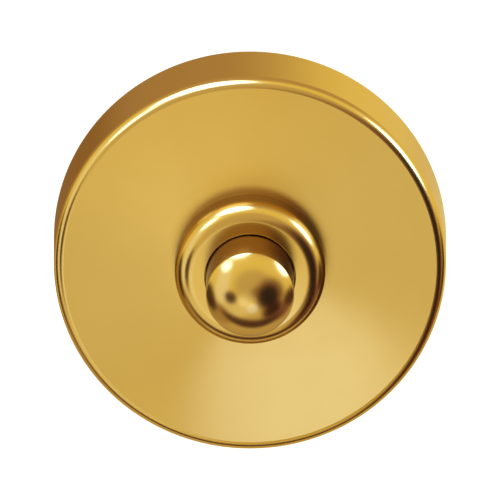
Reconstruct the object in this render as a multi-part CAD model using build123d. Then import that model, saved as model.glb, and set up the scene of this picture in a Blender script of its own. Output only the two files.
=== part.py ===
from build123d import *
import math
import os

# Doorbell push: a turned brass rose screwed on to a moulded base, with a sprung button in a collar.
# Lengths are in millimetres. Pieces are drawn with +Z out of the wall and +Y up. The last step turns
# them so that the front faces -Y and +Z is up, with the origin at the centre of the back, on the wall.

# Rose cover
rose_radius = 32.0
rose_depth = 14.4
rose_wall = 2.0
rose_edge_radius = 1.5
rose_inner_fillet = 1.0
rim_lead_in = 0.4

# Collar, with the neck that passes through the rose and houses the spring
collar_radius = 12.3
collar_height = 6.1
collar_edge_radius = 3.0
collar_lip_radius = 0.15
guide_length = 3.3
neck_wall = 1.2
neck_lip = 0.8
neck_chamfer = 0.3
groove_depth = 0.5

# Lock washer and nut behind the face
lock_washer_thickness = 0.6
lock_washer_width = 2.6
lock_washer_tooth_length = 1.0
lock_washer_tooth_width = 1.8
lock_washer_teeth = 12
collar_nut_thickness = 2.5
collar_nut_wall = 2.0
nut_chamfer_angle = 30

# Button
button_radius = 7.2
button_proud = 8.9
button_travel = 2.5
dome_rise = 3.5
dome_edge_radius = 0.15
flange_reach = 1.3
flange_thickness = 1.4
spigot_length = 1.0

# Insulating pin in the back of the button
pin_radius = 2.0
pin_grip = 5.0
pin_bore_relief = 0.3

# Return spring, its seat and the retaining ring that holds the seat in the neck
wire_radius = 0.3
wire_sides = 8
spring_side_gap = 0.5
spring_fill = 0.85
seat_thickness = 0.8
seat_hole_gap = 0.5
ring_thickness = 0.9
ring_width = 1.4
ring_opening = 3.2
ring_lug_radius = 1.3
ring_lug_inset = 0.6
ring_lug_flat = 0.9
ring_lug_hole_radius = 0.6

# Moulded base
plate_floor = 2.6
plate_rim_height = 6.0
plate_rim_wall = 2.2
plate_thread_chamfer = 0.5
gusset_leg = 3.0
gusset_thickness = 1.4
gusset_count = 8
fixing_spacing = 42.0
fixing_hole_radius = 2.2
fixing_head_radius = 4.2
fixing_boss_radius = 5.5
cable_hole_radius = 4.5
cable_hole_chamfer = 0.5
cable_hole_web = 0.5
terminal_offset = 20.0
pad_height = 1.0
pad_margin = 1.5
pad_corner_radius = 1.0

# Contact strips
strip_thickness = 0.5
strip_width = 6.0
strip_bend_radius = 1.2
strip_corner_radius = 0.8
strip_tail = 6.0
strip_seat = 5.0
leaf_ramp = 4.5
fixed_ramp = 3.0
peg_radius = 0.8
peg_offset = 4.6
rivet_head_radius = 1.5
rivet_head_height = 0.5
rivet_shank_radius = 0.75
rivet_chamfer = 0.15
leaf_to_neck = 0.5

# Terminals
screw_radius = 1.5
screw_head_radius = 2.8
screw_head_height = 2.0
screw_slot_width = 0.8
screw_slot_depth = 1.0
screw_head_chamfer = 0.3
screw_end_inset = 0.4
clamp_thickness = 0.8
clamp_length = 6.5
clamp_lip_drop = 0.4
terminal_nut_flats = 5.5
terminal_nut_thickness = 1.8
terminal_nut_inset = 0.2

# Fits
guide_gap = 0.15
running_gap = 0.35
thread_gap = 0.05
assembly_gap = 0.1
press_gap = 0.01
contact_gap = 0.02

# Radii that follow from the button outwards
guide_radius = button_radius + guide_gap
flange_radius = button_radius + flange_reach
pocket_radius = flange_radius + running_gap
groove_radius = pocket_radius + groove_depth
neck_radius = pocket_radius + neck_wall
spring_radius = pocket_radius - spring_side_gap - wire_radius
plate_radius = rose_radius - rose_wall - thread_gap
plate_rim_inner = plate_radius - plate_rim_wall

# The cable hole's mouth lies beside the upper fixing boss
fixing_boss_inner_edge = fixing_spacing / 2 - fixing_boss_radius
cable_hole_offset = fixing_boss_inner_edge - cable_hole_web - cable_hole_chamfer - cable_hole_radius

# Heights above the wall, from the face forwards
face_height = rose_depth
collar_top = face_height + collar_height
shoulder_height = collar_top - guide_length
flange_back = shoulder_height - flange_thickness
spigot_back = flange_back - spigot_length
dome_edge = collar_top + button_proud
button_top = dome_edge + dome_rise

# Heights above the wall, from the face backwards
inside_height = face_height - rose_wall
lock_washer_back = inside_height - lock_washer_thickness
collar_nut_back = lock_washer_back - collar_nut_thickness

# Heights above the wall, from the base forwards: the contacts just close when the button is pressed home
pad_top = plate_floor + pad_height
fixed_rivet_top = plate_floor + strip_thickness + rivet_head_height
moving_rivet_back = fixed_rivet_top + button_travel + contact_gap
leaf_back = moving_rivet_back + rivet_head_height
leaf_front = leaf_back + strip_thickness
pin_tip = leaf_front + contact_gap
neck_back = leaf_front + leaf_to_neck
groove_back = neck_back + neck_lip
ring_front = groove_back + ring_thickness
groove_front = ring_front + assembly_gap
seat_front = ring_front + seat_thickness

# The spring fills the room that is left, and is nearly solid when the button is pressed home
spring_length = flange_back - seat_front
spring_turns = spring_fill * (spring_length - button_travel) / (2 * wire_radius)

# Terminal stack on its pad
clamp_back = pad_top + strip_thickness
screw_seat = clamp_back + clamp_thickness
pad_width = strip_width + 2 * pad_margin
pad_inner_end = terminal_offset - strip_seat + strip_bend_radius
pad_outer_end = terminal_offset + strip_tail + assembly_gap
nut_pocket_depth = terminal_nut_inset + terminal_nut_thickness

LEFT = -1
RIGHT = 1


def turned(outline, rounds=()):
    """A turned piece from its half section: (radius, height) corners, some of them rounded."""
    with BuildPart() as piece:
        with BuildSketch(Plane.XZ) as section:
            with BuildLine():
                Polyline(*outline, close=True)
            make_face()
            for corner, radius in rounds:
                fillet(section.vertices().sort_by_distance(corner)[0], radius)
        revolve(axis=Axis.Z)
    return piece.part


def hexagon_nut(flats, thickness, bore_radius, back):
    """A hexagon nut with both ends chamfered to a round, standing on the given height."""
    corner_radius = flats / math.sqrt(3)
    drop = (corner_radius - flats / 2) * math.tan(math.radians(nut_chamfer_angle))
    front = back + thickness
    barrel = turned(
        [
            (bore_radius, back),
            (flats / 2, back),
            (corner_radius, back + drop),
            (corner_radius, front - drop),
            (flats / 2, front),
            (bore_radius, front),
        ]
    )
    with BuildPart() as prism:
        with BuildSketch(Plane.XY.offset(back)):
            RegularPolygon(flats / 2, 6, major_radius=False)
        extrude(amount=thickness)
    return barrel & prism.part


def rose_cover():
    """The turned brass dish: flat face, plain side, rounded rim and a hole for the collar's neck."""
    hole_radius = neck_radius + assembly_gap
    inner_radius = rose_radius - rose_wall
    return turned(
        [
            (hole_radius, face_height),
            (rose_radius, face_height),
            (rose_radius, 0),
            (inner_radius + rim_lead_in, 0),
            (inner_radius, rim_lead_in),
            (inner_radius, inside_height),
            (hole_radius, inside_height),
        ],
        [
            ((rose_radius, face_height), rose_edge_radius),
            ((inner_radius, inside_height), rose_inner_fillet),
        ],
    )


def collar():
    """The raised collar, with a guide bore for the button and a neck that holds the spring behind it."""
    return turned(
        [
            (guide_radius, collar_top),
            (collar_radius, collar_top),
            (collar_radius, face_height),
            (neck_radius, face_height),
            (neck_radius, neck_back + neck_chamfer),
            (neck_radius - neck_chamfer, neck_back),
            (pocket_radius, neck_back),
            (pocket_radius, groove_back),
            (groove_radius, groove_back),
            (groove_radius, groove_front),
            (pocket_radius, groove_front),
            (pocket_radius, shoulder_height),
            (guide_radius, shoulder_height),
        ],
        [
            ((collar_radius, collar_top), collar_edge_radius),
            ((guide_radius, collar_top), collar_lip_radius),
        ],
    )


def collar_lock_washer():
    """A flat washer with teeth round its hole."""
    outer_radius = neck_radius + lock_washer_width
    tip_radius = neck_radius + assembly_gap
    root_radius = tip_radius + lock_washer_tooth_length
    with BuildPart() as washer:
        with BuildSketch(Plane.XY.offset(lock_washer_back)):
            Circle(outer_radius)
            Circle(root_radius, mode=Mode.SUBTRACT)
            with PolarLocations(root_radius, lock_washer_teeth):
                Rectangle(2 * lock_washer_tooth_length, lock_washer_tooth_width)
            Circle(tip_radius, mode=Mode.SUBTRACT)
        extrude(amount=lock_washer_thickness)
    return washer.part


def collar_nut():
    """The thin nut that clamps the collar to the rose."""
    flats = 2 * (neck_radius + collar_nut_wall)
    return hexagon_nut(flats, collar_nut_thickness, neck_radius + thread_gap, collar_nut_back)


def push_button():
    """The solid turned button: domed front, plain side, a flange that keeps it in and a bore for the pin."""
    dome_radius = (button_radius**2 + dome_rise**2) / (2 * dome_rise)
    dome_centre = button_top - dome_radius
    edge_angle = math.degrees(math.atan2(dome_edge - dome_centre, button_radius))
    bore_radius = pin_radius + press_gap
    bore_end = spigot_back + pin_grip + pin_bore_relief
    with BuildPart() as button:
        with BuildSketch(Plane.XZ) as section:
            with BuildLine():
                Polyline(
                    (0, button_top),
                    (0, bore_end),
                    (bore_radius, bore_end),
                    (bore_radius, spigot_back),
                    (button_radius, spigot_back),
                    (button_radius, flange_back),
                    (flange_radius, flange_back),
                    (flange_radius, shoulder_height),
                    (button_radius, shoulder_height),
                    (button_radius, dome_edge),
                )
                CenterArc((0, dome_centre), dome_radius, edge_angle, 90 - edge_angle)
            make_face()
            fillet(section.vertices().sort_by_distance((button_radius, dome_edge))[0], dome_edge_radius)
        revolve(axis=Axis.Z)
    return button.part


def pusher_pin():
    """The insulating pin, pressed into the button, with a round tip on the contact leaf."""
    pin_end = spigot_back + pin_grip
    tip_centre = pin_tip + pin_radius
    with BuildPart() as pin:
        with BuildSketch(Plane.XZ):
            with BuildLine():
                CenterArc((0, tip_centre), pin_radius, 270, 90)
                Polyline((pin_radius, tip_centre), (pin_radius, pin_end), (0, pin_end), (0, pin_tip))
            make_face()
        revolve(axis=Axis.Z)
    return pin.part


def return_spring():
    """An open helical spring with its two ends ground flat. Eight sides on the wire keep its facets few."""
    with BuildPart() as spring:
        with BuildLine() as centre_line:
            Helix(spring_length / spring_turns, spring_length, spring_radius, center=(0, 0, seat_front))
        with BuildSketch(Plane(centre_line.line @ 0, z_dir=centre_line.line % 0)):
            RegularPolygon(wire_radius, wire_sides)
        sweep(path=centre_line.line, is_frenet=True)
        with Locations((0, 0, seat_front)):
            Cylinder(
                pocket_radius,
                spring_length,
                align=(Align.CENTER, Align.CENTER, Align.MIN),
                mode=Mode.INTERSECT,
            )
    return spring.part


def spring_seat():
    """The washer under the spring, with room for the pin to pass."""
    hole_radius = pin_radius + seat_hole_gap
    outer_radius = pocket_radius - assembly_gap
    return turned(
        [
            (hole_radius, ring_front),
            (outer_radius, ring_front),
            (outer_radius, seat_front),
            (hole_radius, seat_front),
        ]
    )


def retaining_ring():
    """An internal circlip: a ring with two holed lugs beside its opening, in the groove of the neck."""
    outer_radius = groove_radius - assembly_gap
    inner_radius = outer_radius - ring_width
    lug_across = ring_opening / 2 + ring_lug_flat
    lug_down = inner_radius - ring_lug_inset
    lug_places = [(side * lug_across, -lug_down) for side in (LEFT, RIGHT)]
    with BuildPart() as ring:
        with BuildSketch(Plane.XY.offset(groove_back)):
            Circle(outer_radius)
            Circle(inner_radius, mode=Mode.SUBTRACT)
            with Locations(*lug_places):
                Circle(ring_lug_radius)
                Circle(ring_lug_hole_radius, mode=Mode.SUBTRACT)
            with Locations((0, -outer_radius)):
                Rectangle(ring_opening, 2 * outer_radius, mode=Mode.SUBTRACT)
        extrude(amount=ring_thickness)
    return ring.part


def back_plate():
    """The moulded base: a floor and threaded rim with bosses, pads, pegs, gussets and captive nut pockets."""
    fixing_places = [(0, side * fixing_spacing / 2) for side in (LEFT, RIGHT)]
    terminal_places = [(side * terminal_offset, 0) for side in (LEFT, RIGHT)]
    pad_places = [(side * (pad_inner_end + pad_outer_end) / 2, 0) for side in (LEFT, RIGHT)]
    peg_places = [(side * (terminal_offset + peg_offset), 0) for side in (LEFT, RIGHT)]
    head_depth = fixing_head_radius - fixing_hole_radius
    floor_and_rim = turned(
        [
            (0, 0),
            (plate_radius, 0),
            (plate_radius, plate_rim_height - plate_thread_chamfer),
            (plate_radius - plate_thread_chamfer, plate_rim_height),
            (plate_rim_inner, plate_rim_height),
            (plate_rim_inner, plate_floor),
            (0, plate_floor),
        ]
    )
    with BuildPart() as plate:
        add(floor_and_rim)
        # Terminal pads and fixing bosses stand on the floor
        with BuildSketch(Plane.XY.offset(plate_floor)):
            with Locations(*pad_places):
                RectangleRounded(pad_outer_end - pad_inner_end, pad_width, pad_corner_radius)
            with Locations(*fixing_places):
                Circle(fixing_boss_radius)
        extrude(amount=pad_height)
        # Pegs keep the strips from turning
        with BuildSketch(Plane.XY.offset(pad_top)):
            with Locations(*peg_places):
                Circle(peg_radius)
        extrude(amount=2 * strip_thickness)
        # Gussets brace the rim
        with BuildSketch(Plane.XZ) as gusset_outline:
            with BuildLine():
                Polyline(
                    (plate_rim_inner - gusset_leg, plate_floor),
                    (plate_rim_inner, plate_floor),
                    (plate_rim_inner, plate_floor + gusset_leg),
                    close=True,
                )
            make_face()
        gusset = extrude(gusset_outline.sketch, gusset_thickness / 2, both=True, mode=Mode.PRIVATE)
        gusset_step = 360 / gusset_count
        for number in range(gusset_count):
            add(Rot(Z=(number + 0.5) * gusset_step) * gusset)
        # Countersunk fixing holes
        with Locations(*[(x, y, pad_top) for x, y in fixing_places]):
            CounterSinkHole(fixing_hole_radius, fixing_head_radius, depth=pad_top)
        # Cable entry
        with Locations((0, cable_hole_offset, plate_floor)):
            Hole(cable_hole_radius, depth=plate_floor)
        chamfer(
            plate.edges()
            .filter_by(GeomType.CIRCLE)
            .filter_by(lambda edge: abs(edge.radius - cable_hole_radius) < press_gap),
            cable_hole_chamfer,
        )
        # Terminal screw holes and nut pockets
        with Locations(*[(x, y, pad_top) for x, y in terminal_places]):
            Hole(screw_radius + assembly_gap, depth=pad_top)
        with BuildSketch(Plane.XY):
            with Locations(*terminal_places):
                RegularPolygon(terminal_nut_flats / 2 + thread_gap, 6, major_radius=False)
        extrude(amount=nut_pocket_depth, mode=Mode.SUBTRACT)
    return plate.part


def formed_strip(side, ramp, centre_back):
    """A contact strip, bent from its terminal pad to the given height at the centre, with its holes."""
    terminal_level = pad_top + strip_thickness / 2
    centre_level = centre_back + strip_thickness / 2
    tail = terminal_offset + strip_tail
    first_bend = terminal_offset - strip_seat
    route = [
        (side * tail, terminal_level),
        (side * first_bend, terminal_level),
        (side * (first_bend - ramp), centre_level),
        (-side * strip_width / 2, centre_level),
    ]
    with BuildPart() as strip:
        with BuildSketch(Plane.XZ):
            with BuildLine() as bends:
                FilletPolyline(*route, radius=strip_bend_radius)
            trace(bends.line, strip_thickness)
        extrude(amount=strip_width / 2, both=True)
        # The outline seen from the front: a squared tail at the terminal and a round end at the centre
        with BuildSketch(Plane.XY) as outline:
            with Locations((side * tail / 2, 0)):
                Rectangle(tail, strip_width)
            fillet(outline.vertices().sort_by(Axis.X)[:: -side][:2], strip_corner_radius)
            Circle(strip_width / 2)
            with Locations((side * terminal_offset, 0)):
                Circle(screw_radius + assembly_gap, mode=Mode.SUBTRACT)
            with Locations((side * (terminal_offset + peg_offset), 0)):
                Circle(peg_radius + assembly_gap, mode=Mode.SUBTRACT)
            Circle(rivet_shank_radius + press_gap, mode=Mode.SUBTRACT)
        extrude(amount=face_height, mode=Mode.INTERSECT)
    return strip.part


def contact_rivet(head_base, head_top, shank_end):
    """A contact point: a flat round head on one face of a strip and a shank flush with the other."""
    chamfer_drop = math.copysign(rivet_chamfer, head_top - head_base)
    return turned(
        [
            (0, head_top),
            (rivet_head_radius - rivet_chamfer, head_top),
            (rivet_head_radius, head_top - chamfer_drop),
            (rivet_head_radius, head_base),
            (rivet_shank_radius, head_base),
            (rivet_shank_radius, shank_end),
            (0, shank_end),
        ]
    )


def terminal_clamp(side):
    """A saddle clamp: a bent plate whose two lips straddle the strip."""
    inner_width = strip_width + 2 * assembly_gap
    outer_width = inner_width + 2 * clamp_thickness
    lip_end = clamp_back - clamp_lip_drop
    with BuildPart() as clamp:
        with BuildSketch(Plane.YZ.offset(side * terminal_offset)) as section:
            with BuildLine():
                Polyline(
                    (-outer_width / 2, lip_end),
                    (-outer_width / 2, screw_seat),
                    (outer_width / 2, screw_seat),
                    (outer_width / 2, lip_end),
                    (inner_width / 2, lip_end),
                    (inner_width / 2, clamp_back),
                    (-inner_width / 2, clamp_back),
                    (-inner_width / 2, lip_end),
                    close=True,
                )
            make_face()
            fillet(section.vertices().group_by(Axis.Y)[-1], clamp_thickness / 2)
        extrude(amount=clamp_length / 2, both=True)
        with Locations((side * terminal_offset, 0, screw_seat)):
            Hole(screw_radius + assembly_gap, depth=clamp_thickness)
    return clamp.part


def terminal_screw():
    """A slotted cheese-head screw that ends inside its nut."""
    head_top = screw_seat + screw_head_height
    with BuildPart() as screw:
        add(
            turned(
                [
                    (0, head_top),
                    (screw_head_radius - screw_head_chamfer, head_top),
                    (screw_head_radius, head_top - screw_head_chamfer),
                    (screw_head_radius, screw_seat),
                    (screw_radius, screw_seat),
                    (screw_radius, screw_end_inset),
                    (0, screw_end_inset),
                ]
            )
        )
        with Locations((0, 0, head_top)):
            Box(
                2 * screw_head_radius,
                screw_slot_width,
                2 * screw_slot_depth,
                mode=Mode.SUBTRACT,
            )
    return screw.part


def pair_of(piece):
    """The same piece at both terminals."""
    with BuildPart() as pair:
        with Locations(*[(side * terminal_offset, 0) for side in (LEFT, RIGHT)]):
            add(piece)
    return pair.part


pieces = {
    "rose_cover": rose_cover(),
    "collar": collar(),
    "collar_lock_washer": collar_lock_washer(),
    "collar_nut": collar_nut(),
    "push_button": push_button(),
    "pusher_pin": pusher_pin(),
    "return_spring": return_spring(),
    "spring_seat": spring_seat(),
    "retaining_ring": retaining_ring(),
    "back_plate": back_plate(),
    "fixed_contact": formed_strip(RIGHT, fixed_ramp, plate_floor),
    "fixed_contact_rivet": contact_rivet(plate_floor + strip_thickness, fixed_rivet_top, plate_floor),
    "moving_contact": formed_strip(LEFT, leaf_ramp, leaf_back),
    "moving_contact_rivet": contact_rivet(leaf_back, moving_rivet_back, leaf_front),
    "terminal_clamp_left": terminal_clamp(LEFT),
    "terminal_clamp_right": terminal_clamp(RIGHT),
    "terminal_screws": pair_of(terminal_screw()),
    "terminal_nuts": pair_of(
        hexagon_nut(terminal_nut_flats, terminal_nut_thickness, screw_radius + thread_gap, terminal_nut_inset)
    ),
}

# Turn the drawing frame on to the wall and write each piece
wall_frame = Rot(X=90)
os.makedirs("parts", exist_ok=True)
for name, piece in pieces.items():
    export_step(wall_frame * piece, f"parts/{name}.step")
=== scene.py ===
# %% [markdown]
# # A brass bell push, finished for its portrait
# The part comes from CAD as a imported frame of named nodes. This lesson keeps that frame as it is, turns
# the three polished pieces again with finer rounds, winds the spring, cuts the contact leaf across, and
# gives every piece the surface of its real metal or moulding. The front faces -Y, +Z is up, and the
# origin is on the wall.

# %% Load the imported frame
import math

import bpy
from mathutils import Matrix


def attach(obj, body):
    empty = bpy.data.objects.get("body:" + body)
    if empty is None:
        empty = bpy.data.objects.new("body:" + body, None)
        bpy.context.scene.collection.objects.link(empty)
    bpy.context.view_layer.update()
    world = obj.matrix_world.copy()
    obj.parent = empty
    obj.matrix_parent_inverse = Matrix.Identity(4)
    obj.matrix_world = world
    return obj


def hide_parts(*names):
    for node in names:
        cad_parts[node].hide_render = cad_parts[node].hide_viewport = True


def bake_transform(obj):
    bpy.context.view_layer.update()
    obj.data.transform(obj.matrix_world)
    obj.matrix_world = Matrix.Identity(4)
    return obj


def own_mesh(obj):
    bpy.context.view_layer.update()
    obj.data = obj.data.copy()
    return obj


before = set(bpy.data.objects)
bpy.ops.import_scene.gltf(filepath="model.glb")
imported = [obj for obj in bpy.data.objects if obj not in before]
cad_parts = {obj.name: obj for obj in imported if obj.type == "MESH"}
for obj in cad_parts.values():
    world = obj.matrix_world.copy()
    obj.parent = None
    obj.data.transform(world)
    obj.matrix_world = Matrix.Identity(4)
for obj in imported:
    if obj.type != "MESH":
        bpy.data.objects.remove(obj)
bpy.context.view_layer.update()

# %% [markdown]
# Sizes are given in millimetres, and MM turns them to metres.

MM = 0.001

# %% [markdown]
# ## Colours and nodes
# Colours are written as they look on a screen, in sRGB hex. Shaders count in linear light, so one
# function turns each colour. A second small function adds a node with its settings and its links.


# %% Turn a screen colour to linear light
def linear(screen_hex):
    """A colour such as "#D2AA4D" as linear red, green, blue and alpha."""
    channels = [int(screen_hex[start:start + 2], 16) / 255 for start in (1, 3, 5)]
    light = [c / 12.92 if c <= 0.04045 else ((c + 0.055) / 1.055) ** 2.4 for c in channels]
    return (*light, 1.0)


# %% Add a node
def add_node(tree, kind, settings, links):
    """Adds a node. A setting is a property or a socket's value, and a link is a socket and what feeds it."""
    made = tree.nodes.new(kind)
    for name, value in settings.items():
        if isinstance(name, int) or name in made.inputs:
            made.inputs[name].default_value = value
        else:
            setattr(made, name, value)
    for socket, source in links.items():
        tree.links.new(source, made.inputs[socket])
    return made


def new_material(name):
    """An empty node material with its output."""
    material = bpy.data.materials.new(name)
    material.use_nodes = True
    material.node_tree.nodes.clear()
    return material, material.node_tree, add_node(material.node_tree, "ShaderNodeOutputMaterial", {}, {})


# %% [markdown]
# ## Polished and lacquered brass
# The rose, collar and button are turned from brass, buffed to a mirror and lacquered. Buffing leaves a
# faint haze that comes and goes over a few millimetres. Towards the collar's foot the brass is painted
# browner and darker. That is painted shade for the corner, and the brass is also a little rougher there.
# The steep walls of the collar and the button are hard to buff. Their haze takes some light from what they
# reflect at a glance, and the glance tone is what is left.
#
# The facing cut leaves fine rings on a flat face, which stretch each reflection from the centre
# outwards. The rings are far too fine to model, so anisotropy stands for them.

# %% Make the polished brass
BRASS_TONE = "#D8AF56"
BRASS_DEEP = "#D6AC52"
HAZE_SIZE_MM = 7.0
HAZE_RANGE = (0.3, 0.7)
HAZE_SWING = 0.005
# Painted shade: the browner, darker colour painted on the corner at the collar's foot.
PAINTED_CORNER_SHADE_TONE = "#BE9850"
CORNER_ROUGHNESS = 0.25
CORNER_FADE_MM = 1.6
LACQUER_WEIGHT = 0.12
LACQUER_ROUGHNESS = 0.15


def polished_brass(name, glance_tone, anisotropy, roughness, corner_height):
    """Buffed, lacquered brass, with painted shade below a height in mm and its own tone at a glance."""
    material, tree, output = new_material(name)
    place = add_node(tree, "ShaderNodeTexCoord", {}, {})
    across = add_node(tree, "ShaderNodeMapping", {"Scale": (1, 0, 1)}, {"Vector": place.outputs["Object"]})
    haze = add_node(
        tree,
        "ShaderNodeTexNoise",
        {"Scale": 1 / (HAZE_SIZE_MM * MM), "Detail": 4.0, "Roughness": 0.55},
        {"Vector": place.outputs["Object"]},
    )
    tone = add_node(
        tree,
        "ShaderNodeMix",
        {"data_type": "RGBA", 6: linear(BRASS_TONE), 7: linear(BRASS_DEEP)},
        {0: haze.outputs["Fac"]},
    )
    polish = add_node(
        tree,
        "ShaderNodeMapRange",
        {
            "From Min": HAZE_RANGE[0],
            "From Max": HAZE_RANGE[1],
            "To Min": roughness - HAZE_SWING,
            "To Max": roughness + HAZE_SWING,
        },
        {"Value": haze.outputs["Fac"]},
    )
    axes = add_node(tree, "ShaderNodeSeparateXYZ", {}, {"Vector": place.outputs["Object"]})
    # Below the corner height this mask paints shade into the colour and makes the brass rougher.
    corner = add_node(
        tree,
        "ShaderNodeMapRange",
        {
            "interpolation_type": "SMOOTHSTEP",
            "From Min": -(corner_height + CORNER_FADE_MM) * MM,
            "From Max": -corner_height * MM,
        },
        {"Value": axes.outputs["Y"]},
    )
    shade = add_node(
        tree,
        "ShaderNodeMix",
        {"data_type": "RGBA", 7: linear(PAINTED_CORNER_SHADE_TONE)},
        {0: corner.outputs["Result"], 6: tone.outputs[2]},
    )
    finish = add_node(
        tree,
        "ShaderNodeMix",
        {"data_type": "FLOAT", 3: CORNER_ROUGHNESS},
        {0: corner.outputs["Result"], 2: polish.outputs["Result"]},
    )
    shader = add_node(
        tree,
        "ShaderNodeBsdfPrincipled",
        {
            "Metallic": 1.0,
            "Anisotropic": anisotropy,
            "Specular Tint": linear(glance_tone),
            "Coat Weight": LACQUER_WEIGHT,
            "Coat Roughness": LACQUER_ROUGHNESS,
        },
        {"Base Color": shade.outputs[2], "Roughness": finish.outputs[0], "Tangent": across.outputs["Vector"]},
    )
    tree.links.new(shader.outputs["BSDF"], output.inputs["Surface"])
    return material


# %% [markdown]
# Only the collar gets the painted corner shade. For the other pieces the shaded corner is put behind
# the wall, where there is no brass.

# %% Make its four finishes
BUFFED = 0.2
FACED = 0.195
NO_RINGS = 0.0
FACING_RINGS = 0.95
NO_CORNER = -CORNER_FADE_MM
# Up to this height in mm the collar's foot is painted with shade.
COLLAR_CORNER = 17.8
ROSE_GLANCE = "#F0E0BC"
COLLAR_GLANCE = "#CFCBDC"
BUTTON_GLANCE = "#A6A3CC"
rose_brass = polished_brass("polished_rose_brass", ROSE_GLANCE, NO_RINGS, BUFFED, NO_CORNER)
faced_brass = polished_brass("faced_rose_brass", ROSE_GLANCE, FACING_RINGS, FACED, NO_CORNER)
collar_brass = polished_brass("polished_collar_brass", COLLAR_GLANCE, NO_RINGS, BUFFED, COLLAR_CORNER)
button_brass = polished_brass("polished_button_brass", BUTTON_GLANCE, NO_RINGS, BUFFED, NO_CORNER)
print("made", ", ".join(finish.name for finish in (rose_brass, faced_brass, collar_brass, button_brass)))

# %% [markdown]
# ## Turning a piece
# On a lathe a piece is cut from a half section. The same is done here: a ring is extruded from corner
# to corner of the section, and each ring of edges that should be round is then bevelled. The
# alternative, a spin of a drawn profile, gives the same mesh, but ring by ring each corner can be found
# again by its radius and height.

# %% Turn a half section into a piece
RING_STEPS = 192
NEAR = 0.002 * MM
HAIR = NEAR / 10
SMOOTH_BELOW = math.radians(30)


def turn(name, section):
    """Turns (radius, height) corners in mm round the button's axis, and stays in edit mode."""
    bpy.ops.object.select_all(action="DESELECT")
    radius, height = section[0]
    bpy.ops.mesh.primitive_circle_add(
        vertices=RING_STEPS,
        radius=radius * MM,
        location=(0, -height * MM, 0),
        rotation=(math.pi / 2, 0, 0),
    )
    piece = bpy.context.object
    piece.name = name
    bpy.ops.object.transform_apply(location=True, rotation=True, scale=True)
    bpy.ops.object.mode_set(mode="EDIT")
    bpy.ops.mesh.select_mode(type="EDGE")
    bpy.ops.mesh.select_all(action="SELECT")
    for (radius, height), (next_radius, next_height) in zip(section, section[1:]):
        forward = (0, (height - next_height) * MM, 0)
        bpy.ops.mesh.extrude_region_move(TRANSFORM_OT_translate={"value": forward})
        wider = next_radius / radius
        bpy.ops.transform.resize(value=(wider, 1, wider), center_override=(0, -next_height * MM, 0))
    bpy.ops.mesh.select_all(action="SELECT")
    bpy.ops.mesh.remove_doubles(threshold=HAIR)
    return piece


def select_ring(piece, radius, height):
    """Selects one ring of edges, found by its place."""
    bpy.ops.mesh.select_all(action="DESELECT")
    bpy.ops.object.mode_set(mode="OBJECT")
    on_ring = [
        abs(math.hypot(v.co.x, v.co.z) - radius * MM) < NEAR and abs(v.co.y + height * MM) < NEAR
        for v in piece.data.vertices
    ]
    for edge in piece.data.edges:
        edge.select = all(on_ring[end] for end in edge.vertices)
    bpy.ops.object.mode_set(mode="EDIT")


def round_ring(piece, radius, height, distance, segments):
    """Bevels one ring of edges by a distance in mm."""
    select_ring(piece, radius, height)
    bpy.ops.mesh.bevel(
        offset_type="OFFSET", offset=distance * MM, segments=segments, profile=0.5, affect="EDGES"
    )


def close_turned(piece):
    """Merges what meets, points the faces outwards and keeps flat faces flat in their reflections."""
    bpy.ops.mesh.select_all(action="SELECT")
    bpy.ops.mesh.remove_doubles(threshold=HAIR)
    bpy.ops.mesh.normals_make_consistent(inside=False)
    bpy.ops.object.mode_set(mode="OBJECT")
    bpy.ops.object.shade_smooth_by_angle(angle=SMOOTH_BELOW)
    bpy.ops.object.modifier_add(type="WEIGHTED_NORMAL")
    piece.modifiers[-1].keep_sharp = True
    bpy.ops.object.modifier_apply(modifier=piece.modifiers[-1].name)
    print(piece.name, "has", len(piece.data.polygons), "faces")


# %% [markdown]
# ## The rose
# The rose is a shallow turned dish. A form tool rounds its rim, which carries the bright line. Such a
# tool is never quite in line with the face and the side, so it leaves a fine edge where it meets each
# of them. A bevel would run smoothly into both, so the rings of the rim are placed by equal turns from
# the first edge to the second. The back edge is only broken so that it doesn't cut a finger.

# %% Turn the rose
ROSE_RADIUS = 32.0
ROSE_FACE = 14.4
ROSE_INSIDE = 30.0
ROSE_INSIDE_FACE = 12.4
ROSE_BORE = 10.15
LEAD_IN = 0.4
RIM_WIDTH = 1.55
RIM_FACE_ANGLE = math.radians(4)
RIM_SIDE_ANGLE = math.radians(85)
RIM_RINGS = 12
rim_tool = RIM_WIDTH / (math.sin(RIM_SIDE_ANGLE) - math.sin(RIM_FACE_ANGLE))
rim = []
for ring in range(RIM_RINGS + 1):
    angle = RIM_FACE_ANGLE + (RIM_SIDE_ANGLE - RIM_FACE_ANGLE) * ring / RIM_RINGS
    inwards = rim_tool * (math.sin(RIM_SIDE_ANGLE) - math.sin(angle))
    down = rim_tool * (math.cos(RIM_FACE_ANGLE) - math.cos(angle))
    rim.append((ROSE_RADIUS - inwards, ROSE_FACE - down))
rose = turn(
    "turned_rose",
    [
        (ROSE_BORE, ROSE_FACE),
        *rim,
        (ROSE_RADIUS, 0.0),
        (ROSE_INSIDE + LEAD_IN, 0.0),
        (ROSE_INSIDE, LEAD_IN),
        (ROSE_INSIDE, ROSE_INSIDE_FACE),
        (ROSE_BORE, ROSE_INSIDE_FACE),
        (ROSE_BORE, ROSE_FACE),
    ],
)
print("rim tool radius in mm:", round(rim_tool, 2))

# %% Mark the rim's fine edges and round the others
INSIDE_FILLET = 1.0
BACK_BREAK = 0.1
for radius, height in (rim[0], rim[-1]):
    select_ring(rose, radius, height)
    bpy.ops.mesh.mark_sharp()
round_ring(rose, ROSE_INSIDE, ROSE_INSIDE_FACE, INSIDE_FILLET, segments=6)
round_ring(rose, ROSE_RADIUS, 0.0, BACK_BREAK, segments=2)
close_turned(rose)

# %% [markdown]
# Only the flat of the face keeps its facing marks, so its faces get the second finish. They are found
# by their normal and height.

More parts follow.
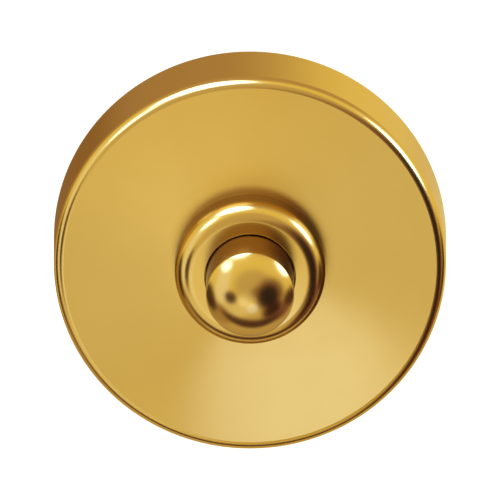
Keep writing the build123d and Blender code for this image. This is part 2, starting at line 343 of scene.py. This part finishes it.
# %% Finish the rose
STRAIGHT_ON = 0.999
FACE_CLOSENESS = 0.01
rose.data.materials.append(rose_brass)
rose.data.materials.append(faced_brass)
faced = [
    face
    for face in rose.data.polygons
    if face.normal.y < -STRAIGHT_ON and face.center.y < -(ROSE_FACE - FACE_CLOSENESS) * MM
]
for face in faced:
    face.material_index = 1
print("faced finish on", len(faced), "faces")
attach(rose, "housing")
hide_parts("rose_cover")

# %% [markdown]
# ## The collar
# The collar is a separate turned piece. Its neck passes through the rose and houses the spring. Its
# front edge is a generous round, and a small break at its foot leaves a fine dark line where it meets
# the face.

# %% Turn the collar
COLLAR_RADIUS = 12.3
COLLAR_TOP = 20.5
GUIDE_RADIUS = 7.35
SHOULDER = 17.2
POCKET_RADIUS = 8.85
GROOVE_RADIUS = 9.35
GROOVE_FRONT = 9.42
GROOVE_BACK = 8.42
NECK_RADIUS = 10.05
NECK_BACK = 7.62
NECK_CHAMFER = 0.3
collar = turn(
    "turned_collar",
    [
        (GUIDE_RADIUS, COLLAR_TOP),
        (COLLAR_RADIUS, COLLAR_TOP),
        (COLLAR_RADIUS, ROSE_FACE),
        (NECK_RADIUS, ROSE_FACE),
        (NECK_RADIUS, NECK_BACK + NECK_CHAMFER),
        (NECK_RADIUS - NECK_CHAMFER, NECK_BACK),
        (POCKET_RADIUS, NECK_BACK),
        (POCKET_RADIUS, GROOVE_BACK),
        (GROOVE_RADIUS, GROOVE_BACK),
        (GROOVE_RADIUS, GROOVE_FRONT),
        (POCKET_RADIUS, GROOVE_FRONT),
        (POCKET_RADIUS, SHOULDER),
        (GUIDE_RADIUS, SHOULDER),
        (GUIDE_RADIUS, COLLAR_TOP),
    ],
)
print("neck length in mm:", round(ROSE_FACE - NECK_BACK, 2))

# %% Round the collar's edges and finish it
COLLAR_ROUND = 3.0
EDGE_BREAK = 0.15
FOOT_BREAK = 0.12
round_ring(collar, COLLAR_RADIUS, COLLAR_TOP, COLLAR_ROUND, segments=18)
round_ring(collar, GUIDE_RADIUS, COLLAR_TOP, EDGE_BREAK, segments=5)
round_ring(collar, COLLAR_RADIUS, ROSE_FACE, FOOT_BREAK, segments=2)
close_turned(collar)
collar.data.materials.append(collar_brass)
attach(collar, "housing")
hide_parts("collar")

# %% [markdown]
# ## The button
# The button is a solid turned piece with a domed front. The dome is part of a sphere, so its rings are
# placed by equal turns of that sphere's radius. A hidden flange keeps the button in the collar, and a
# bore in its back takes the insulating pin.

# %% Turn the button
BUTTON_RADIUS = 7.2
DOME_EDGE = 29.4
DOME_TOP = 32.9
DOME_RINGS = 28
FLANGE_RADIUS = 8.5
FLANGE_BACK = 15.8
SPIGOT_BACK = 14.8
PIN_BORE = 2.01
PIN_BORE_END = 20.1
dome_rise = DOME_TOP - DOME_EDGE
dome_radius = (BUTTON_RADIUS**2 + dome_rise**2) / (2 * dome_rise)
dome_centre = DOME_TOP - dome_radius
edge_angle = math.atan2(DOME_EDGE - dome_centre, BUTTON_RADIUS)
section = [
    (PIN_BORE, PIN_BORE_END),
    (PIN_BORE, SPIGOT_BACK),
    (BUTTON_RADIUS, SPIGOT_BACK),
    (BUTTON_RADIUS, FLANGE_BACK),
    (FLANGE_RADIUS, FLANGE_BACK),
    (FLANGE_RADIUS, SHOULDER),
    (BUTTON_RADIUS, SHOULDER),
]
for ring in range(DOME_RINGS + 1):
    angle = edge_angle + (math.pi / 2 - edge_angle) * ring / DOME_RINGS
    section.append((dome_radius * math.cos(angle), dome_centre + dome_radius * math.sin(angle)))
button = turn("domed_button", section)
print("dome radius in mm:", round(dome_radius, 3))

# %% [markdown]
# The bore's end is filled, and the sharp edges are broken: the dome's rim and both edges of the flange.

# %% Finish the button
bpy.ops.mesh.select_all(action="DESELECT")
bpy.ops.mesh.select_non_manifold()
bpy.ops.mesh.edge_face_add()
round_ring(button, BUTTON_RADIUS, DOME_EDGE, EDGE_BREAK, segments=4)
round_ring(button, FLANGE_RADIUS, FLANGE_BACK, EDGE_BREAK, segments=2)
round_ring(button, FLANGE_RADIUS, SHOULDER, EDGE_BREAK, segments=2)
close_turned(button)
button.data.materials.append(button_brass)
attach(button, "button")
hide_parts("push_button")

# %% [markdown]
# ## The return spring
# The spring is wound from round wire, and its ends are ground flat so that it stands square. A circle
# the size of the wire is swept up a helix by a Screw modifier, which is how a coiling machine feeds it.
# The ground ends are two cuts across the coil.

# %% Wind the spring
WIRE_RADIUS = 0.3
WIRE_SIDES = 16
COIL_RADIUS = 8.05
COIL_TURNS = 4.505
SEAT_HEIGHT = 10.12
STEPS_PER_TURN = 48
coil_length = FLANGE_BACK - SEAT_HEIGHT
bpy.ops.object.select_all(action="DESELECT")
bpy.ops.mesh.primitive_circle_add(
    vertices=WIRE_SIDES, radius=WIRE_RADIUS * MM, location=(COIL_RADIUS * MM, -SEAT_HEIGHT * MM, 0)
)
spring = bpy.context.object
spring.name = "wound_spring"
bpy.ops.object.transform_apply(location=True, rotation=True, scale=True)
bpy.ops.object.modifier_add(type="SCREW")
winding = spring.modifiers[-1]
winding.axis = "Y"
winding.angle = -COIL_TURNS * 2 * math.pi
winding.screw_offset = -coil_length * MM
winding.steps = round(COIL_TURNS * STEPS_PER_TURN)
winding.render_steps = winding.steps
bpy.ops.object.modifier_apply(modifier=winding.name)
print("spring length in mm:", round(coil_length, 2))

# %% Grind its ends
bpy.ops.object.mode_set(mode="EDIT")
bpy.ops.mesh.select_all(action="SELECT")
bpy.ops.mesh.fill_holes(sides=0)
for height, outwards in ((SEAT_HEIGHT, 1), (FLANGE_BACK, -1)):
    bpy.ops.mesh.select_all(action="SELECT")
    bpy.ops.mesh.bisect(
        plane_co=(0, -height * MM, 0),
        plane_no=(0, outwards, 0),
        use_fill=True,
        clear_outer=True,
        threshold=HAIR,
    )
close_turned(spring)

# %% [markdown]
# ## Zinc-plated spring steel
# Bright zinc over hardened wire and stampings: a cool grey with a faint crystal pattern and a soft
# shine.

# %% Make the zinc-plated steel
ZINC_LIGHT = "#B4B7BB"
ZINC_DARK = "#96999F"
ZINC_CRYSTAL_MM = 0.8
ZINC_ROUGHNESS = (0.26, 0.4)
zinc_steel, tree, output = new_material("zinc_plated_spring_steel")
place = add_node(tree, "ShaderNodeTexCoord", {}, {})
crystals = add_node(
    tree, "ShaderNodeTexVoronoi", {"Scale": 1 / (ZINC_CRYSTAL_MM * MM)}, {"Vector": place.outputs["Object"]}
)
plating = add_node(
    tree,
    "ShaderNodeMix",
    {"data_type": "RGBA", 6: linear(ZINC_LIGHT), 7: linear(ZINC_DARK)},
    {0: crystals.outputs["Distance"]},
)
shine = add_node(
    tree,
    "ShaderNodeMapRange",
    {"To Min": ZINC_ROUGHNESS[0], "To Max": ZINC_ROUGHNESS[1]},
    {"Value": crystals.outputs["Distance"]},
)
shader = add_node(
    tree,
    "ShaderNodeBsdfPrincipled",
    {"Metallic": 1.0},
    {"Base Color": plating.outputs[2], "Roughness": shine.outputs["Result"]},
)
tree.links.new(shader.outputs["BSDF"], output.inputs["Surface"])
print("made", zinc_steel.name)

# %% [markdown]
# The spring is finished in zinc, hangs on the housing and gets a mesh of its own, and the CAD spring is
# hidden.

# %% Finish the spring
spring.data.materials.append(zinc_steel)
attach(spring, "housing")
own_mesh(spring)
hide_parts("return_spring")

# %% [markdown]
# ## The contact leaf
# The leaf is a formed strip that the pin bends when the button goes in. The CAD strip has the right
# shape, so a copy of it is merged, and cut across at even steps between its clamped end and the pin.
# The base holds one end of the leaf, and the button pushes the other.

# %% Cut the leaf for bending
LEAF_FIXED_X = -15.0
LEAF_PUSHED_X = -2.0
LEAF_CUTS = 14
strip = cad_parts["moving_contact"]
leaf = bpy.data.objects.new("sprung_contact_leaf", strip.data.copy())
bpy.context.scene.collection.objects.link(leaf)
bpy.ops.object.select_all(action="DESELECT")
bpy.context.view_layer.objects.active = leaf
leaf.select_set(True)
bpy.ops.mesh.customdata_custom_splitnormals_clear()
bpy.ops.object.mode_set(mode="EDIT")
bpy.ops.mesh.select_all(action="SELECT")
bpy.ops.mesh.remove_doubles(threshold=HAIR)
for cut in range(LEAF_CUTS + 1):
    cut_x = LEAF_FIXED_X + (LEAF_PUSHED_X - LEAF_FIXED_X) * cut / LEAF_CUTS
    bpy.ops.mesh.select_all(action="SELECT")
    bpy.ops.mesh.bisect(plane_co=(cut_x * MM, 0, 0), plane_no=(1, 0, 0), threshold=HAIR)
bpy.ops.object.mode_set(mode="OBJECT")
bpy.ops.object.shade_smooth_by_angle(angle=SMOOTH_BELOW)
print(leaf.name, "has", len(leaf.data.polygons), "faces")

# %% [markdown]
# ## Phosphor bronze
# Spring strip is rolled, so its grain runs along it as fine streaks. The colour is a coppery brown, a
# little darker where it has been handled.

# %% Make the phosphor bronze
BRONZE_LIGHT = "#C08552"
BRONZE_DARK = "#A46C40"
ROLLING_STREAK_MM = 0.25
STREAK_LENGTH = 30.0
BRONZE_ROUGHNESS = (0.24, 0.42)
bronze, tree, output = new_material("rolled_phosphor_bronze")
place = add_node(tree, "ShaderNodeTexCoord", {}, {})
along = add_node(
    tree, "ShaderNodeMapping", {"Scale": (1 / STREAK_LENGTH, 1, 1)}, {"Vector": place.outputs["Object"]}
)
streaks = add_node(
    tree,
    "ShaderNodeTexNoise",
    {"Scale": 1 / (ROLLING_STREAK_MM * MM), "Detail": 3.0},
    {"Vector": along.outputs["Vector"]},
)
grain = add_node(
    tree,
    "ShaderNodeMix",
    {"data_type": "RGBA", 6: linear(BRONZE_LIGHT), 7: linear(BRONZE_DARK)},
    {0: streaks.outputs["Fac"]},
)
shine = add_node(
    tree,
    "ShaderNodeMapRange",
    {"To Min": BRONZE_ROUGHNESS[0], "To Max": BRONZE_ROUGHNESS[1]},
    {"Value": streaks.outputs["Fac"]},
)
shader = add_node(
    tree,
    "ShaderNodeBsdfPrincipled",
    {"Metallic": 1.0},
    {"Base Color": grain.outputs[2], "Roughness": shine.outputs["Result"]},
)
tree.links.new(shader.outputs["BSDF"], output.inputs["Surface"])
print("made", bronze.name)

# %% Finish the leaf
leaf.data.materials.clear()
leaf.data.materials.append(bronze)
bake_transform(leaf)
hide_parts("moving_contact")

# %% [markdown]
# ## Plain brass
# The nut, the spring seat, the fixed contact and the terminals are turned or stamped brass with no
# lacquer. They dull a little in patches, where the metal takes up moisture, and they aren't as yellow
# as the polished pieces.

# %% Make the plain brass
PLAIN_LIGHT = "#C9A75E"
PLAIN_DULL = "#A5813F"
DULL_PATCH_MM = 2.5
DULL_RANGE = (0.42, 0.68)
PLAIN_ROUGHNESS = (0.27, 0.45)
plain_brass, tree, output = new_material("plain_unlacquered_brass")
place = add_node(tree, "ShaderNodeTexCoord", {}, {})
patches = add_node(
    tree,
    "ShaderNodeTexNoise",
    {"Scale": 1 / (DULL_PATCH_MM * MM), "Detail": 6.0, "Roughness": 0.65},
    {"Vector": place.outputs["Object"]},
)
dulling = add_node(
    tree,
    "ShaderNodeMapRange",
    {"From Min": DULL_RANGE[0], "From Max": DULL_RANGE[1]},
    {"Value": patches.outputs["Fac"]},
)
tone = add_node(
    tree,
    "ShaderNodeMix",
    {"data_type": "RGBA", 6: linear(PLAIN_LIGHT), 7: linear(PLAIN_DULL)},
    {0: dulling.outputs["Result"]},
)
shine = add_node(
    tree,
    "ShaderNodeMapRange",
    {"To Min": PLAIN_ROUGHNESS[0], "To Max": PLAIN_ROUGHNESS[1]},
    {"Value": dulling.outputs["Result"]},
)
shader = add_node(
    tree,
    "ShaderNodeBsdfPrincipled",
    {"Metallic": 1.0},
    {"Base Color": tone.outputs[2], "Roughness": shine.outputs["Result"]},
)
tree.links.new(shader.outputs["BSDF"], output.inputs["Surface"])
print("made", plain_brass.name)

# %% [markdown]
# ## Contact silver
# The rivets are a silver alloy. Fresh silver is nearly white, and a thin warm tarnish gathers in soft
# patches.

# %% Make the contact silver
SILVER_FRESH = "#E2E0DA"
SILVER_WARM = "#C4BBA6"
TARNISH_PATCH_MM = 1.2
SILVER_ROUGHNESS = (0.18, 0.34)
contact_silver, tree, output = new_material("silver_contact_alloy")
place = add_node(tree, "ShaderNodeTexCoord", {}, {})
patches = add_node(
    tree,
    "ShaderNodeTexNoise",
    {"Scale": 1 / (TARNISH_PATCH_MM * MM), "Detail": 4.0},
    {"Vector": place.outputs["Object"]},
)
tone = add_node(
    tree,
    "ShaderNodeMix",
    {"data_type": "RGBA", 6: linear(SILVER_FRESH), 7: linear(SILVER_WARM)},
    {0: patches.outputs["Fac"]},
)
shine = add_node(
    tree,
    "ShaderNodeMapRange",
    {"To Min": SILVER_ROUGHNESS[0], "To Max": SILVER_ROUGHNESS[1]},
    {"Value": patches.outputs["Fac"]},
)
shader = add_node(
    tree,
    "ShaderNodeBsdfPrincipled",
    {"Metallic": 1.0},
    {"Base Color": tone.outputs[2], "Roughness": shine.outputs["Result"]},
)
tree.links.new(shader.outputs["BSDF"], output.inputs["Surface"])
print("made", contact_silver.name)

# %% [markdown]
# ## Phenolic moulding
# The base is compression moulded from a wood-filled phenolic. It is nearly black with a brown mottle
# where the filler shows, and a fine grain from the mould that breaks up its shine.

# %% Make the phenolic
PHENOLIC_DARK = "#231C18"
PHENOLIC_BROWN = "#33271F"
PHENOLIC_IOR = 1.6
PHENOLIC_ROUGHNESS = (0.34, 0.48)
MOTTLE_MM = 3.0
FILLER_RANGE = (0.4, 0.66)
MOULD_GRAIN_MM = 0.4
GRAIN_DEPTH_MM = 0.015
GRAIN_STRENGTH = 0.5
phenolic, tree, output = new_material("wood_filled_phenolic_moulding")
place = add_node(tree, "ShaderNodeTexCoord", {}, {})
mottle = add_node(
    tree,
    "ShaderNodeTexNoise",
    {"Scale": 1 / (MOTTLE_MM * MM), "Detail": 6.0, "Roughness": 0.6, "Distortion": 0.8},
    {"Vector": place.outputs["Object"]},
)
filler = add_node(
    tree,
    "ShaderNodeMapRange",
    {"From Min": FILLER_RANGE[0], "From Max": FILLER_RANGE[1]},
    {"Value": mottle.outputs["Fac"]},
)
tone = add_node(
    tree,
    "ShaderNodeMix",
    {"data_type": "RGBA", 6: linear(PHENOLIC_DARK), 7: linear(PHENOLIC_BROWN)},
    {0: filler.outputs["Result"]},
)
shine = add_node(
    tree,
    "ShaderNodeMapRange",
    {"To Min": PHENOLIC_ROUGHNESS[0], "To Max": PHENOLIC_ROUGHNESS[1]},
    {"Value": filler.outputs["Result"]},
)
mould = add_node(
    tree,
    "ShaderNodeTexNoise",
    {"Scale": 1 / (MOULD_GRAIN_MM * MM), "Detail": 2.0},
    {"Vector": place.outputs["Object"]},
)
skin = add_node(
    tree,
    "ShaderNodeBump",
    {"Strength": GRAIN_STRENGTH, "Distance": GRAIN_DEPTH_MM * MM},
    {"Height": mould.outputs["Fac"]},
)
shader = add_node(
    tree,
    "ShaderNodeBsdfPrincipled",
    {"IOR": PHENOLIC_IOR},
    {
        "Base Color": tone.outputs[2],
        "Roughness": shine.outputs["Result"],
        "Normal": skin.outputs["Normal"],
    },
)
tree.links.new(shader.outputs["BSDF"], output.inputs["Surface"])
print("made", phenolic.name)

# %% [markdown]
# ## Natural nylon
# The pin is turned from natural nylon rod: milky, slightly yellow, and softly shiny with the marks of
# the tool. Those marks are a wave along the pin. At a scale of 1 Blender's wave repeats every pi / 10
# metres.

# %% Make the nylon
NYLON_LIGHT = "#EAE5D6"
NYLON_WARM = "#DCD5C0"
NYLON_IOR = 1.53
NYLON_ROUGHNESS = (0.35, 0.5)
MILKINESS = 0.2
MILK_DEPTH_MM = 0.5
TOOL_MARK_MM = 0.3
nylon, tree, output = new_material("turned_natural_nylon")
place = add_node(tree, "ShaderNodeTexCoord", {}, {})
tool_marks = add_node(
    tree,
    "ShaderNodeTexWave",
    {
        "bands_direction": "Y",
        "Scale": math.pi / (10 * TOOL_MARK_MM * MM),
        "Distortion": 1.5,
        "Detail": 2.0,
    },
    {"Vector": place.outputs["Object"]},
)
tone = add_node(
    tree,
    "ShaderNodeMix",
    {"data_type": "RGBA", 6: linear(NYLON_LIGHT), 7: linear(NYLON_WARM)},
    {0: tool_marks.outputs["Fac"]},
)
shine = add_node(
    tree,
    "ShaderNodeMapRange",
    {"To Min": NYLON_ROUGHNESS[0], "To Max": NYLON_ROUGHNESS[1]},
    {"Value": tool_marks.outputs["Fac"]},
)
shader = add_node(
    tree,
    "ShaderNodeBsdfPrincipled",
    {"IOR": NYLON_IOR, "Subsurface Weight": MILKINESS, "Subsurface Scale": MILK_DEPTH_MM * MM},
    {"Base Color": tone.outputs[2], "Roughness": shine.outputs["Result"]},
)
tree.links.new(shader.outputs["BSDF"], output.inputs["Surface"])
print("made", nylon.name)

# %% [markdown]
# ## The pieces that stay as CAD made them
# The shapes of the other pieces are right, so each keeps its mesh and only gets its finish.

# %% Finish the other pieces
FINISHES = {
    "collar_lock_washer": zinc_steel,
    "retaining_ring": zinc_steel,
    "collar_nut": plain_brass,
    "spring_seat": plain_brass,
    "fixed_contact": plain_brass,
    "terminal_clamp_left": plain_brass,
    "terminal_clamp_right": plain_brass,
    "terminal_screws": plain_brass,
    "terminal_nuts": plain_brass,
    "fixed_contact_rivet": contact_silver,
    "moving_contact_rivet": contact_silver,
    "back_plate": phenolic,
    "pusher_pin": nylon,
}
for node, finish in FINISHES.items():
    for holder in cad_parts[node].material_slots:
        holder.material = finish
print("finished", len(FINISHES), "CAD pieces")

# %% [markdown]
# ## Studio
# Brass shows its surroundings more than itself. The studio is ivory white all round, with large soft
# boxes above and beside the piece. Dim and dark cards between them give the polished rounds their
# contrast. Planes could stand for the cards, but a painted spot has a soft edge, so each card is
# painted on the world in its own direction.

# %% Set out the cards
# Each card has its azimuth and elevation from the piece, its half width and half height, all in
# degrees, and its colour in linear light, where 1 is as bright as the white background.
IVORY = (1.08, 1.06, 0.6)
BROWN = (0.3, 0.155, 0.19)
DARK_BROWN = (0.06, 0.025, 0.045)
BLACK = (0.03, 0.022, 0.045)
CARDS = {
    "floor_card": (0, -88, 50, 50, (0.8, 0.74, 0.6)),
    "back_low_card": (180, -62, 60, 32, (0.76, 0.67, 0.46)),
    "left_strip": (-60, 4, 18, 44, (1.15, 1.3, 1.8)),
    "low_left_glow": (-34, -36, 32, 24, (1.03, 1.08, 1.05)),
    "small_glow": (-13, -18, 13, 13, (1.2, 1.35, 1.7)),
    "front_card": (6, 16, 46, 38, (0.76, 0.7, 0.58)),
    "front_low_card": (16, -1, 19, 15, (0.46, 0.36, 0.3)),
    "low_dim_card": (6, -37, 12, 11, (0.72, 0.62, 0.22)),
    "right_front_edge": (41, -8, 38, 39, BROWN),
    "right_low_edge": (66, -42, 36, 24, BROWN),
    "right_front_card": (38, -10, 26, 28, BLACK),
    "right_low_card": (54, -38, 18, 22, DARK_BROWN),
    "right_edge": (92, -20, 22, 20, BROWN),
    "right_card": (92, -20, 16, 14, DARK_BROWN),
    "left_low_card": (-86, -44, 28, 24, (0.55, 0.43, 0.3)),
    "left_card": (-92, -19, 18, 25, DARK_BROWN),
    "small_left_edge": (-40, -13, 16, 16, BROWN),
    "small_left_card": (-40, -13, 13, 13, DARK_BROWN),
    "low_edge": (8, -74, 64, 16, BROWN),
    "low_card": (8, -75, 54, 12, (0.08, 0.04, 0.06)),
    "back_left_card": (-148, 10, 44, 52, (0.53, 0.4, 0.3)),
    "back_top_card": (172, 58, 54, 44, (0.66, 0.53, 0.44)),
    "back_right_low_card": (170, -17, 14, 18, (0.9, 0.8, 0.4)),
    "back_left_low_card": (-167, -16, 18, 22, (0.33, 0.19, 0.07)),
}
print("studio cards:", ", ".join(CARDS))

# %% Paint them on the world
CARD_EDGE = 0.4
world = bpy.data.worlds.new("white_studio")
bpy.context.scene.world = world
world.use_nodes = True
studio = world.node_tree
studio.nodes.clear()
look = add_node(studio, "ShaderNodeTexCoord", {}, {})
surround = add_node(studio, "ShaderNodeRGB", {}, {})
surround.outputs[0].default_value = (*IVORY, 1)
colour = surround.outputs[0]
for name, (azimuth, elevation, half_width, half_height, card_colour) in CARDS.items():
    turn_z = math.radians(azimuth)
    lift = math.radians(elevation)
    centre = (math.sin(turn_z) * math.cos(lift), -math.cos(turn_z) * math.cos(lift), math.sin(lift))
    reach = (2 * math.sin(math.radians(half_width) / 2), 2.0, 2 * math.sin(math.radians(half_height) / 2))
    aim = add_node(
        studio,
        "ShaderNodeMapping",
        {"vector_type": "TEXTURE", "Location": centre, "Rotation": (-lift, 0, turn_z), "Scale": reach},
        {"Vector": look.outputs["Generated"]},
    )
    spot = add_node(
        studio, "ShaderNodeTexGradient", {"gradient_type": "SPHERICAL"}, {"Vector": aim.outputs["Vector"]}
    )
    edge = add_node(
        studio,
        "ShaderNodeMapRange",
        {"interpolation_type": "SMOOTHSTEP", "From Max": CARD_EDGE},
        {"Value": spot.outputs["Fac"]},
    )
    card = add_node(
        studio,
        "ShaderNodeMix",
        {"data_type": "RGBA", "label": name, 7: (*card_colour, 1)},
        {0: edge.outputs["Result"], 6: colour},
    )
    colour = card.outputs[2]

# %% [markdown]
# The camera sees plain white behind the piece. Everything else, the brass too, sees the painted studio.

# %% Show the camera plain white
WHITE = (1, 1, 1, 1)
ray = add_node(studio, "ShaderNodeLightPath", {}, {})
seen = add_node(
    studio,
    "ShaderNodeMix",
    {"data_type": "RGBA", 7: WHITE},
    {0: ray.outputs["Is Camera Ray"], 6: colour},
)
sky = add_node(studio, "ShaderNodeBackground", {"Strength": 1.0}, {"Color": seen.outputs[2]})
add_node(studio, "ShaderNodeOutputWorld", {}, {"Surface": sky.outputs[0]})
print("made", world.name)

# %% [markdown]
# The soft boxes are round area lamps that the camera doesn't see. Each one hangs at a place in mm and
# is turned to face a point of the piece. Their light is cool, so that yellow brass reflects them white.

# %% Hang the soft boxes
from mathutils import Vector

COOL_WHITE = (0.34, 0.64, 2.0)
SOFT_WHITE = (0.6, 0.7, 1.0)


def hang_box(name, place, aim, width, height, level, tint):
    """A soft box of a size in mm. At level 1 and with no tint it is as bright as the white background."""
    lamp = bpy.data.lights.new(name, "AREA")
    lamp.shape = "ELLIPSE"
    lamp.size = width * MM
    lamp.size_y = height * MM
    lamp.color = tint
    lamp.energy = level * math.pi * lamp.size * lamp.size_y
    holder = bpy.data.objects.new(name, lamp)
    holder.location = Vector(place) * MM
    holder.rotation_euler = (Vector(aim) - Vector(place)).to_track_quat("-Z", "Y").to_euler()
    bpy.context.scene.collection.objects.link(holder)
    holder.visible_camera = False
    print("hung", name)


hang_box("overhead_box", (-19, -27, 55), (-19, -27, 0), width=42, height=30, level=5.0, tint=COOL_WHITE)
hang_box("left_box", (-51, -47, 49), (0, -20, 0), width=25, height=28, level=3.75, tint=COOL_WHITE)
hang_box("right_box", (64, -29, 37), (0, -20, 5), width=28, height=40, level=5.0, tint=COOL_WHITE)
hang_box("low_box", (8, -107, -54), (8, -14, -17), width=34, height=36, level=0.95, tint=COOL_WHITE)
hang_box("near_box", (-5, -76, -13), (-5, -14, 8), width=36, height=32, level=0.14, tint=SOFT_WHITE)

# %% [markdown]
# ## Floor and camera
# The floor is pale and far below, because the bell push hangs on a wall. The photo was taken from 18.6
# degrees above the axis with no perspective to speak of, so the camera is orthographic.

# %% Lay the floor
FLOOR_SIZE = 6.0
FLOOR_DROP = 0.25
FLOOR_TONE = "#A6A6A6"
FLOOR_GLOW = 0.85
bpy.ops.object.select_all(action="DESELECT")
bpy.ops.mesh.primitive_plane_add(size=FLOOR_SIZE, location=(0, 0, -FLOOR_DROP))
floor = bpy.context.object
floor.name = "studio_floor"
floor_finish, floor_tree, floor_output = new_material("white_painted_floor")
paint = add_node(floor_tree, "ShaderNodeBsdfDiffuse", {"Color": linear(FLOOR_TONE)}, {})
glow = add_node(floor_tree, "ShaderNodeEmission", {"Color": WHITE, "Strength": FLOOR_GLOW}, {})
lit = add_node(floor_tree, "ShaderNodeAddShader", {}, {0: paint.outputs[0], 1: glow.outputs[0]})
floor_ray = add_node(floor_tree, "ShaderNodeLightPath", {}, {})
shown = add_node(
    floor_tree,
    "ShaderNodeMixShader",
    {},
    {0: floor_ray.outputs["Is Camera Ray"], 1: paint.outputs[0], 2: lit.outputs[0]},
)
floor_tree.links.new(shown.outputs[0], floor_output.inputs["Surface"])
floor.data.materials.append(floor_finish)
floor.visible_glossy = False
print("laid", floor.name)

# %% Place the camera
VIEW_ELEVATION = math.radians(18.56)
FRAME_WIDTH = 81.57 * MM
AIM_FORWARD = 6.56 * MM
CAMERA_DISTANCE = 1.0
lens = bpy.data.cameras.new("photo_camera")
lens.type = "ORTHO"
lens.ortho_scale = FRAME_WIDTH
camera = bpy.data.objects.new("photo_camera", lens)
camera.location = (
    0,
    -AIM_FORWARD - CAMERA_DISTANCE * math.cos(VIEW_ELEVATION),
    CAMERA_DISTANCE * math.sin(VIEW_ELEVATION),
)
camera.rotation_euler = (math.pi / 2 - VIEW_ELEVATION, 0, 0)
bpy.context.scene.collection.objects.link(camera)
bpy.context.scene.camera = camera
bpy.context.scene.view_settings.view_transform = "Standard"
print("camera at", [round(metres, 3) for metres in camera.location])
